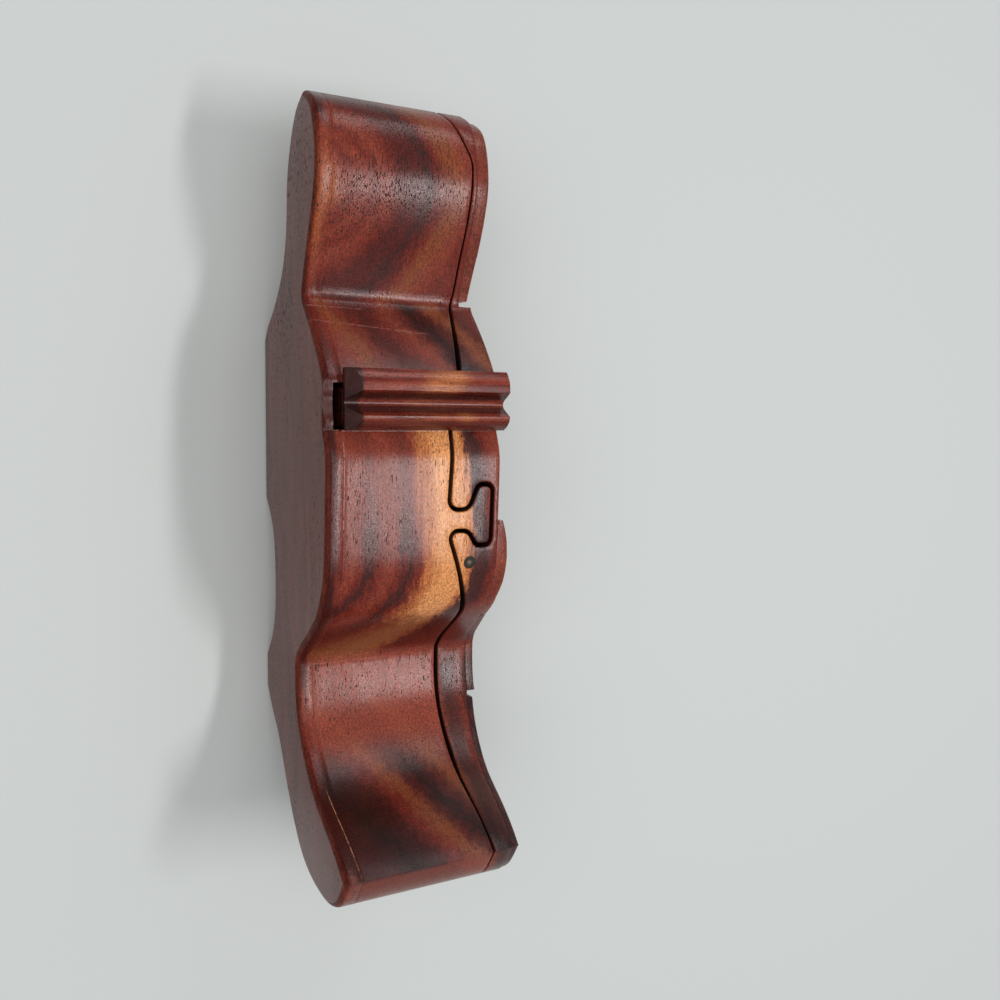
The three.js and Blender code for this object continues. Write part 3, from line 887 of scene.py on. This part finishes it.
barLook = {
    # windows are low, high and how softly they fade, across the bar in x or along it in depth
    "base": [(0.0, "oxblood"), (0.35, "red"), (0.65, "brick"), (1.0, "brick")],
    "glow": (12.6, 21.0, 2.4), "glowSlant": -0.55, "glowFacet": (23.4, 30, 0.6),
    "lowGlow": (29.0, 33.0, 2.0), "lowFacet": (17.0, 19.4, 0.6),
    # the two walls of the groove between the lobes get painted shade
    "walls": [(18.9, 20.4, 0.4), (21.8, 23.3, 0.4)], "grooveShadeShare": 0.72,
    # the slanted start of the bar is end grain, darkened further as painted shade
    "lastFacet": (17.6, 17.0), "endGrainAndShade": (7.6, 6.7),
}


def barWood():
    # the grain of the key runs along it, with a paler stretch in line with the pale wood of the block
    look = dict(rosewood, poresFew=0.73, poresMany=0.67)
    f = Finish("barWood", look["rough"], look["gloss"])
    warp = f.cloud((0.12, 0.05, 0.12), 3.0, 0.5, (4, 4, 4))
    bands = f.cloud((0.55, 0.05, 0.55), 4.0, 0.62, (0, 3, 1))
    colour = f.ramp(f.line(bands, 0.30, 0.70), [(at, tones[name]) for at, name in barLook["base"]])
    place = f.times(warp, 9.0, f.times(f.x, barLook["glowSlant"], f.depth))
    facet = f.times(f.window(f.x, *barLook["glowFacet"]), 0.7, 0.15)
    glow = f.times(f.window(place, *barLook["glow"]), facet)
    low = f.times(f.window(f.depth, *barLook["lowGlow"]), f.window(f.x, *barLook["lowFacet"]))
    glow = f.times(f.calc("MAXIMUM", glow, f.times(low, 0.6)), f.spread(bands, 0.35, 0.6, 0.5, 1.0))
    colour = f.mixed(glow, colour, tones["amber"])
    # painted shade on the walls of the groove, mixed towards ink
    walls = f.calc("MAXIMUM", *[f.window(f.x, *wall) for wall in barLook["walls"]])
    colour = f.mixed(f.times(walls, barLook["grooveShadeShare"]), colour, tones["ink"])
    colour = f.mixed(f.spread(f.x, *barLook["lastFacet"], 0.0, 0.55), colour, tones["garnet"])
    # the start goes towards ink: darker end grain and painted shade
    colour = f.mixed(f.spread(f.depth, *barLook["endGrainAndShade"], 0.0, 0.9), colour, tones["ink"])
    return f.done(*woodGrain(f, colour, (f.depth, f.x, f.z), look))


def feltCloth():
    f = Finish("felt", 0.95, 0.15)
    fuzz = f.noise(f.place, 3.5, 4.0, 0.7)
    lint = f.cloud((0.5, 0.5, 0.5), 3.0, 0.6)
    colour = f.ramp(f.times(lint, 0.5, f.times(fuzz, 0.5)),
                    [(0.3, (0.022, 0.015, 0.018)), (0.55, (0.052, 0.036, 0.040)), (0.8, (0.095, 0.07, 0.072))])
    f.shader.inputs["Sheen Weight"].default_value = 0.35
    return f.done(colour, None, f.bump(fuzz, 0.8, 0.0003))


# key: fluted bar on its dovetail rail, with the slot that takes it and the notch behind it

key = {
    "start": 4, "end": 41.8, "x": 15.2, "width": 13, "top": 48.2, "seat": 43.9, "bevel": 3, "sections": 30,
    "lobes": [[(13, -1.8), (12.2, -1.1), (10.6, -0.25), (8.4, 0)],
              [(8.4, 0), (7.5, -1.3), (6.6, -2.75), (5.8, -3.3), (5.0, -3.0), (4.0, -1.5), (3.1, 0)],
              [(3.1, 0), (2.1, -0.25), (1.0, -1.15), (0, -2.8)]],
    "railX": 15.5, "railWidth": 9.3, "railHeight": 7.3, "flare": 1, "clearance": 0.3, "slotStart": 2.2,
    "railGap": 0.04, "barEdge": 0.12, "railEdge": 0.3,
}
thumb = {
    "x": 26.6, "floor": 42.88, "from": -4, "to": 8, "across": 26, "deep": 14,
    "waves": [(0.275, 0.72, 2.2), (0.06, 1.9, 1)],  # height, rate and start of each wave of the floor
    "cornerReach": 1.4, "cornerLift": 0.25, "edgeReach": 2.0, "edgeDrop": 0.04,
}


def railSlot(lip):
    low = key["railX"] - key["clearance"]
    high = key["railX"] + key["railWidth"] + key["clearance"]
    shoulder = key["seat"] - key["clearance"]
    foot = shoulder - key["railHeight"]
    return prism([(low, foot), (high, foot), (high - lip, shoulder), (high - lip, beyondTop), (low + lip, beyondTop),
                  (low + lip, shoulder)], key["slotStart"], beyondFront)


def barSlot():
    low, high = key["x"] - key["clearance"], key["x"] + key["width"] + key["clearance"]
    seat = key["seat"] - key["clearance"]
    return prism([(low, seat), (high, seat), (high, beyondTop), (low, beyondTop)], key["slotStart"], beyondFront)


def thumbRecess():
    # scoop in the top edge of the panel, its floor a little uneven as cut by hand
    lowX, highX = key["x"] - key["clearance"], thumb["x"]
    nx, nd = thumb["across"], thumb["deep"]
    verts, faces = [], []
    for x in np.linspace(lowX, highX, nx + 1):
        rise = sum(height * math.sin(x * rate + start) for height, rate, start in thumb["waves"])
        rise += thumb["cornerLift"] * max(0.0, thumb["cornerReach"] - (highX - x)) ** 2
        for d in np.linspace(thumb["from"], thumb["to"], nd + 1):
            drop = thumb["edgeDrop"] * max(0, thumb["edgeReach"] - d) ** 2
            verts.append((x, d, thumb["floor"] + rise - drop))
    lid = len(verts)
    verts += [(x, d, beyondTop) for x, d, _ in verts]
    wide = nd + 1
    for i in range(nx):
        for j in range(nd):
            a = i * wide + j
            quad = (a, a + 1, a + wide + 1, a + wide)
            faces += [quad, tuple(lid + v for v in quad)]
    rim = [i * wide for i in range(nx + 1)] + [nx * wide + j for j in range(1, wide)]
    rim += [i * wide + nd for i in range(nx - 1, -1, -1)] + list(range(nd - 1, 0, -1))
    return verts, faces + ringFaces([rim, [lid + v for v in rim]])


def endwise(profile, startAt, crease, name):
    # section along x and z, swept in depth, its start slanted above the crease
    loop = []
    for (x, z), (nextX, nextZ) in zip(profile, profile[1:] + profile[:1]):
        loop.append((x, z))
        if (z - crease) * (nextZ - crease) < 0:
            loop.append((x + (nextX - x) * (crease - z) / (nextZ - z), crease))
    loop = np.array(loop, float)
    starts = np.array([startAt(z) for z in loop[:, 1]])
    verts = []
    rings = [addRow(verts, np.column_stack([loop[:, 0], starts + (key["end"] - starts) * share, loop[:, 1]]))
             for share in np.linspace(0, 1, key["sections"] + 1)]
    faces = ringFaces(rings)
    fold = sorted(np.where(np.abs(loop[:, 1] - crease) < 1e-9)[0], key=lambda i: loop[i, 0])
    edges = [(int(a), int(b)) for a, b in zip(fold[::2], fold[1::2])]
    faces += capFaces(verts, rings[0], triangulated([loop], edges=edges), lambda x, z: [x, startAt(z), z])
    faces += capFaces(verts, rings[-1], triangulated([loop]), lambda x, z: [x, key["end"], z])
    return asObject(name, verts, faces, 25)


def makeKey():
    top = []
    for run in key["lobes"]:
        top += [tuple(p) for p in splineThrough(run, 5)[:-1]]
    top.append(key["lobes"][-1][-1])
    profile = [(key["x"], key["seat"]), (key["x"] + key["width"], key["seat"])]
    profile += [(key["x"] + u, key["top"] + z) for u, z in top]
    crease = key["top"] - key["bevel"]
    bar = endwise(profile, lambda z: key["start"] + max(0.0, z - crease), crease, "keyBar")
    softened(bar, key["barEdge"], 30)
    foot, seat = key["seat"] - key["railHeight"], key["seat"] - key["railGap"]
    low, high, flare = key["railX"], key["railX"] + key["railWidth"], key["flare"]
    section = [(low, foot), (high, foot), (high - flare, seat), (low + flare, seat)]
    rail = endwise(section, lambda z: key["start"], foot + key["bevel"], "keyRail")
    softened(rail, key["railEdge"], 40)
    return bar, rail


# back panel and block, with the two hollows

hollows = {
    "floor": 7.2,
    "main": [(3, 5.5, 4), (36, 5.5, 4), (36, 33, 4), (3, 33, 4)],
    "tail": [(-37.5, 12, 3), (-14, 12, 3), (-14, 39, 4), (-21, 37.4, 6), (-37.5, 18.4, 3)],
    "felt": 0.8, "gap": 0.15, "setback": 1.5, "glue": 0.1,
    "turnX": -4, "headSide": 2.9, "tailSide": -13.5,  # x where each hollow's stretch of the seam ends
}
panel = {"thickness": 3.78, "rim": 1.4, "lip": 0.03, "parts": (8, 2)}
block = {"from": 3.8, "lip": 0.03, "parts": (2, 4)}


def hollowCutter(corners):
    return prism(closedRounded(corners), hollows["floor"], beyondFront)


def makeBody():
    rear = slab(flatEdge(0, -1), flatEdge(panel["thickness"], 1), panel["rim"], panel["lip"], panel["parts"])
    backPanel = asObject("backPanel", *rear)
    cutAway(backPanel, [thumbRecess(), railSlot(0)])
    body = slab(flatEdge(block["from"], -1), seamEdge(1), block["lip"], seam["lip"], block["parts"])
    mainBlock = asObject("mainBlock", *body)
    cutAway(mainBlock, [railSlot(0), barSlot(), hollowCutter(hollows["main"]), hollowCutter(hollows["tail"])])
    return backPanel, mainBlock


backPanel, mainBlock = makeBody()


# front, and the dowel driven into it

frontFace = {
    "step": 43.8, "stepDepths": (37.9, 41), "clear": 0.4,
    "runs": [(96.1, 37.9), (43.8001, 37.9), (43.8, 41), (-24, 41), (-38, 43.5), (-50, 43.5), (-77.7, 39.8),
             (-96, 39.8)],
    "lip": 0.35, "parts": (4, 3),
}
dowel = {
    "x": -14.6, "depth": 34.1, "top": 44, "radius": 1.4, "length": 24, "holeGap": 0.06, "holeSides": 40,
    # radius and height of each ring, the upper ones counted from a little over the wood around them
    "foot": [(0, -24), (1.2, -24), (1.4, -23.7)],
    "end": [(1.4, -0.32), (1.35, -0.27), (0.9, -0.27), (0.4, -0.27), (0, -0.27)], "rise": 0.25, "sides": 48,
}


def faceDepth(x):
    return np.interp(x, *np.array(frontFace["runs"])[::-1].T)


def faceEdge():
    step, clear = frontFace["step"], frontFace["clear"]
    high, low = xs[xs > step + clear], xs[xs < step - clear]
    rise = np.linspace(*frontFace["stepDepths"], 5)
    points = np.vstack([np.column_stack([high, faceDepth(high)]), np.column_stack([np.full(5, step), rise]),
                        np.column_stack([low, faceDepth(low)])])
    along = stepsAlong(points)
    return PlanEdge(points, np.column_stack([along[:, 1], -along[:, 0]]))


def makeFront():
    shape = slab(seamEdge(-1), faceEdge(), seam["lip"], frontFace["lip"], frontFace["parts"])
    piece = asObject("frontBlock", *shape)
    radius = dowel["radius"] + dowel["holeGap"]
    circle = [(dowel["x"] + radius * math.cos(a), dowel["depth"] + radius * math.sin(a))
              for a in np.linspace(0, 2 * math.pi, dowel["holeSides"], endpoint=False)]
    hole = prism(circle, dowel["top"] - dowel["length"], beyondTop, True)
    cutAway(piece, [railSlot(key["flare"]), barSlot(), hole])
    return piece


def makeDowel():
    # its end follows the curved top of the front
    verts, rings = [], []
    angles = 2 * math.pi * np.arange(dowel["sides"]) / dowel["sides"]
    for radius, height in dowel["foot"] + dowel["end"]:
        x, depth = dowel["x"] + radius * np.cos(angles), dowel["depth"] + radius * np.sin(angles)
        if (radius, height) in dowel["end"]:
            z = outline.place(outline.onTop(x))[0][:, 1] + height + dowel["rise"]
        else:
            z = np.full(len(x), dowel["top"] + height)
        rings.append(addRow(verts, np.column_stack([x, depth, z])))
    return asObject("dowel", verts, ringFaces(rings))


def dowelEnd():
    f = Finish("dowelWood", 0.5, 0.2)
    speck = f.noise(f.place, 2.6, 2.0, 0.6)
    reach = f.times(speck, 0.5, f.reach(f.minus(f.x, dowel["x"]), f.minus(f.depth, dowel["depth"])))
    colour = f.ramp(f.times(reach, 0.5), [(0.14, (0.22, 0.17, 0.115)), (0.32, (0.12, 0.09, 0.06)),
                                          (0.46, (0.036, 0.028, 0.020)), (0.74, (0.030, 0.024, 0.018)),
                                          (0.88, (0.07, 0.055, 0.04))])
    return f.done(colour, None, f.bump(speck, 0.4, 0.0002))


frontBlock = makeFront()
dowelPin = makeDowel()
keyBar, keyRail = makeKey()


# relief pieces on the face of the front

reliefs = {
    # swell gives the share of the thickness along x
    "headRelief": {"corners": [(45.1, -9, 0), (95, -9, 0), (95, 60, 0), (45.1, 60, 0)], "thick": 3.4, "inset": 1.1,
                   "rim": 0.9, "swell": [(45, 0.8), (56, 1), (88, 1)]},
    "humpRelief": {"corners": [(-28.2, 60, 0), (-29.2, 26, 6), (-20, 14, 7), (-10, 17, 8), (-5.3, 32, 8),
                               (-5.3, 60, 0)], "thick": 3, "inset": 0.3, "rim": 0.4,
                   "swell": [(-29, 0.53), (-25, 0.80), (-20, 1), (-14, 1), (-10, 0.88), (-7, 0.66), (-5.3, 0.45)]},
    "bandRelief": {"corners": [(-50.2, 60, 0), (-50.2, 20, 6), (-43, 9, 8), (-34, 9, 5), (-29.36, 24, 9),
                               (-28.3, 60, 0)], "thick": 2.1, "inset": 0.3, "rim": 0.4,
                   "swell": [(-52, 1), (-38, 1), (-33, 0.9), (-28, 0.74)]},
    "tailRelief": {"corners": [(-95, 60, 0), (-90, 35, 6), (-68, 20, 9), (-55.5, 13, 6), (-51.7, 22, 8),
                               (-51.7, 60, 0)], "thick": 1.7, "inset": 0.3, "rim": 0.7,
                   "swell": [(-88, 1), (-50, 1)]},
}
reliefWork = {"gap": 0.04, "lift": 0.1, "step": 0.7, "grid": 2.4, "parts": (1, 5)}


def sharedArea(first, second):
    # closed outline of the area that two outlines share
    coords = [Vector(p) for p in first] + [Vector(p) for p in second]
    rings = [list(range(len(first))), list(range(len(first), len(coords)))]
    flat, _, faces, _, _, covers = delaunay_2d_cdt(coords, [], rings, 1, 1e-5, True)
    sides = {}
    for face, cover in zip(faces, covers):
        if {0, 1} <= set(cover):
            sides.update(dict.fromkeys(zip(face, face[1:] + face[:1])))
    ahead = {a: b for a, b in sides if (b, a) not in sides}
    path = [next(iter(ahead))]
    while ahead[path[-1]] != path[0]:
        path.append(ahead[path[-1]])
    return np.array([flat[i][:] for i in path])


def resampled(loop, step, cornerAngle=32):
    # even steps between the sharp corners, which stay
    ahead, back = np.roll(loop, -1, 0) - loop, loop - np.roll(loop, 1, 0)
    turn = np.abs(np.arctan2(back[:, 0] * ahead[:, 1] - back[:, 1] * ahead[:, 0], np.sum(back * ahead, axis=1)))
    sharp = np.where(turn > math.radians(cornerAngle))[0]
    if len(sharp) == 0:
        return evenlySpaced(np.vstack([loop, loop[:1]]), step)[:-1]
    return np.vstack([evenlySpaced(loop[np.arange(a, b + 1) % len(loop)], step)[:-1]
                      for a, b in zip(sharp, np.r_[sharp[1:], sharp[:1] + len(loop)])])


def makeRelief(name):
    spec = reliefs[name]
    inner = insetLoop(outline.loop, spec["inset"])
    loop = resampled(sharedArea(closedRounded(spec["corners"]), inner), reliefWork["step"])

    def under(x):
        # the face on the piece's own side of the step
        step = frontFace["step"]
        return faceDepth(np.maximum(x, step + 0.1) if name == "headRelief" else np.minimum(x, step - 0.01))

    def front(x, z):
        return under(x) + reliefWork["lift"] + spec["thick"] * np.interp(x, *zip(*spec["swell"]))

    shape = plate([loop], lambda x, z: under(x) + reliefWork["gap"], front, 0.1, spec["rim"], reliefWork["parts"],
                  reliefWork["grid"])
    return asObject(name, *shape, 40)


reliefPieces = {name: makeRelief(name) for name in reliefs}


# felt in the two hollows

def seamDepthAt(x):
    edge, _ = seamSide(1)
    if x > hollows["turnX"]:
        part = edge[:int(np.argmax(edge[:, 0] < hollows["headSide"])) + 1]
    else:
        part = edge[len(edge) - int(np.argmax(edge[::-1, 0] > hollows["tailSide"])) - 1:]
    order = np.argsort(part[:, 0])
    return float(np.interp(x, part[order, 0], part[order, 1]))


def shrunkCorners(corners, by):
    out = []
    for i, (x, z, radius) in enumerate(corners):
        here = np.array([x, z], float)
        sides = unit(np.array([corners[i - 1][:2], corners[(i + 1) % len(corners)][:2]], float) - here)
        half = math.acos(float(sides[0] @ sides[1])) / 2
        spot = here + unit(sides.sum(0)[None])[0] * by / math.sin(half)
        out.append((spot[0], spot[1], max(0.4, radius - by)))
    return out


def makeFelt(corners, floorName, wallName):
    gap, thick, glue = hollows["gap"], hollows["felt"], hollows["glue"]
    start = hollows["floor"] + glue
    outer, inner = (resampled(closedRounded(shrunkCorners(corners, by)), 0.8, 80) for by in (gap, gap + thick))

    def level(depth):
        return lambda x, z: np.full(len(x), float(depth))

    def uneven(x, z):
        return start + thick + 0.05 * np.sin(x * 1.3 + z * 0.7) * np.sin(z * 1.1 - x * 0.4) - 0.05

    def edge(x, z):
        return np.array([seamDepthAt(v) for v in x]) - hollows["setback"]

    floor = asObject(floorName, *plate([outer], level(start), uneven, 0.1, 0.25, (1, 3), 1.6))
    wall = plate([outer, inner], level(start + thick + glue), edge, 0.1, 0.25, (1, 3), 1.2)
    return floor, asObject(wallName, *wall)


mainFloor, mainWall = makeFelt(hollows["main"], "mainFeltFloor", "mainFeltWall")
tailFloor, tailWall = makeFelt(hollows["tail"], "tailFeltFloor", "tailFeltWall")


# which faces keep the look of the saw, darkened as painted shade, show the rim of the panel or the face of the front

inside = {
    "least": 1.0,  # distance inside the outline
    "faceReach": 0.6,
    "slotSide": 1, "slotHeights": (30, 42), "slotDepth": 0.5, "rimFacing": (0.22, 0.985),
}


def paintPanel(piece):
    piece.data.materials.append(woodSawnShaded)
    piece.data.materials.append(woodRim)
    lowX, highX = key["railX"] - inside["slotSide"], key["railX"] + key["railWidth"] + inside["slotSide"]
    lowZ, highZ = inside["slotHeights"]
    for face in piece.data.polygons:
        x, y, z = (v / mm for v in face.center)
        depth = halfDepth - y
        inSlot = depth > inside["slotDepth"] and lowX < x < highX and lowZ < z < highZ
        onRim = depth < panel["rim"] and inside["rimFacing"][0] < face.normal.y < inside["rimFacing"][1]
        # the slot walls take the sawn wood, darkened as painted shade
        face.material_index = 1 if inSlot else 2 if onRim else 0


def paintBlock(piece):
    piece.data.materials.append(woodSawnShaded)
    if piece is frontBlock:
        piece.data.materials.append(woodFace)
    centres = np.array([face.center[:] for face in piece.data.polygons]) / mm
    within = nearest(centres[:, [0, 2]], outline.loop) > inside["least"]
    for face, (x, y, _), deep in zip(piece.data.polygons, centres, within):
        onFace = piece is frontBlock and abs(halfDepth - y - float(faceDepth(x))) < inside["faceReach"]
        # faces inside the outline take the sawn wood, darkened as painted shade in the kerf and hollows
        face.material_index = 0 if not deep else 2 if onFace else 1


# each piece takes the place of its CAD node, rides on its body and gets its finish

woodBar = barWood()
woodDowel = dowelEnd()
clothFelt = feltCloth()
dressing = [
    (backPanel, "back_panel", "box_body", woodPanel, "panel_wood"),
    (mainBlock, "main_block", "box_body", woodBlock, "block_wood"),
    (mainFloor, "main_hollow_floor_felt", "box_body", clothFelt, "felt"),
    (mainWall, "main_hollow_wall_felt", "box_body", clothFelt, "felt"),
    (tailFloor, "tail_hollow_floor_felt", "box_body", clothFelt, "felt"),
    (tailWall, "tail_hollow_wall_felt", "box_body", clothFelt, "felt"),
    (frontBlock, "front_block", "sliding_front", woodFront, "front_wood"),
    (dowelPin, "front_dowel", "sliding_front", woodDowel, "dowel_wood"),
    (reliefPieces["headRelief"], "head_relief", "sliding_front", woodRed, "red_relief_wood"),
    (reliefPieces["humpRelief"], "hump_relief", "sliding_front", woodRed, "red_relief_wood"),
    (reliefPieces["bandRelief"], "band_relief", "sliding_front", woodFront, "front_wood"),
    (reliefPieces["tailRelief"], "tail_relief", "sliding_front", woodDark, "dark_relief_wood"),
    (keyBar, "key_bar", "key", woodBar, "key_wood"),
    (keyRail, "key_rail", "key", woodBar, "key_wood"),
]
for piece, node, body, finish, slotName in dressing:
    piece.data.materials.clear()
    piece.data.materials.append(finish)
    if piece is backPanel:
        paintPanel(piece)
    elif piece in (mainBlock, frontBlock):
        paintBlock(piece)
    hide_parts(node)
    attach(piece, body)
print("pieces dressed:", len(dressing))


# camera at the photograph's angle

camera = {
    "place": (19.9, 92.0, 242.8), "lens": 36,
    "right": (0.0130, -0.8737, 0.4863), "forward": (-0.0901, -0.4854, -0.8696),
}


def addCamera():
    data = bpy.data.cameras.new("camera")
    data.lens = camera["lens"]
    data.sensor_width = 36
    data.clip_start = 0.005
    data.clip_end = 10
    item = bpy.data.objects.new("camera", data)
    scene.collection.objects.link(item)
    forward = Vector(camera["forward"]).normalized()
    right = Vector(camera["right"])
    right = (right - forward * right.dot(forward)).normalized()
    up = right.cross(forward)
    turned = Matrix((right, up, -forward)).transposed().to_4x4()
    item.matrix_world = Matrix.Translation(Vector(camera["place"]) * mm) @ turned
    scene.camera = item


addCamera()
print("camera placed")


# table and light

table = {"size": 6, "colour": (0.65, 0.67, 0.65, 1), "rough": 0.6}
room = {"colour": (0.93, 0.97, 1, 1), "strength": 0.3}
lamps = {
    # place, size in m and power in W
    "window": ((-0.10, -0.475, 1.03), (0.50, 0.08), 3.7),
    "ceiling": ((0.10, 0.80, 1.90), (2.0, 3.2), 26.5),
    "side": ((1.08, -0.45, 0.60), (0.36, 0.30), 1.3),
}


def addTable():
    mesh = bpy.data.meshes.new("table")
    half = table["size"] / 2
    mesh.from_pydata([(-half, -half, 0), (half, -half, 0), (half, half, 0), (-half, half, 0)], [], [(0, 1, 2, 3)])
    item = bpy.data.objects.new("table", mesh)
    scene.collection.objects.link(item)
    material = bpy.data.materials.new("tableTop")
    material.use_nodes = True
    shader = material.node_tree.nodes["Principled BSDF"]
    shader.inputs["Base Color"].default_value = table["colour"]
    shader.inputs["Roughness"].default_value = table["rough"]
    mesh.materials.append(material)


def addLight():
    world = bpy.data.worlds.new("room")
    scene.world = world
    world.use_nodes = True
    background = world.node_tree.nodes["Background"]
    background.inputs["Color"].default_value = room["colour"]
    background.inputs["Strength"].default_value = room["strength"]
    aim = Vector((0, 0, 0.02))
    for name, (place, size, power) in lamps.items():
        data = bpy.data.lights.new(name, "AREA")
        data.shape = "RECTANGLE"
        data.size, data.size_y = size
        data.energy = power
        item = bpy.data.objects.new(name, data)
        scene.collection.objects.link(item)
        item.location = place
        item.rotation_euler = (aim - Vector(place)).to_track_quat("-Z", "Y").to_euler()


addTable()
addLight()
print("table and light set")
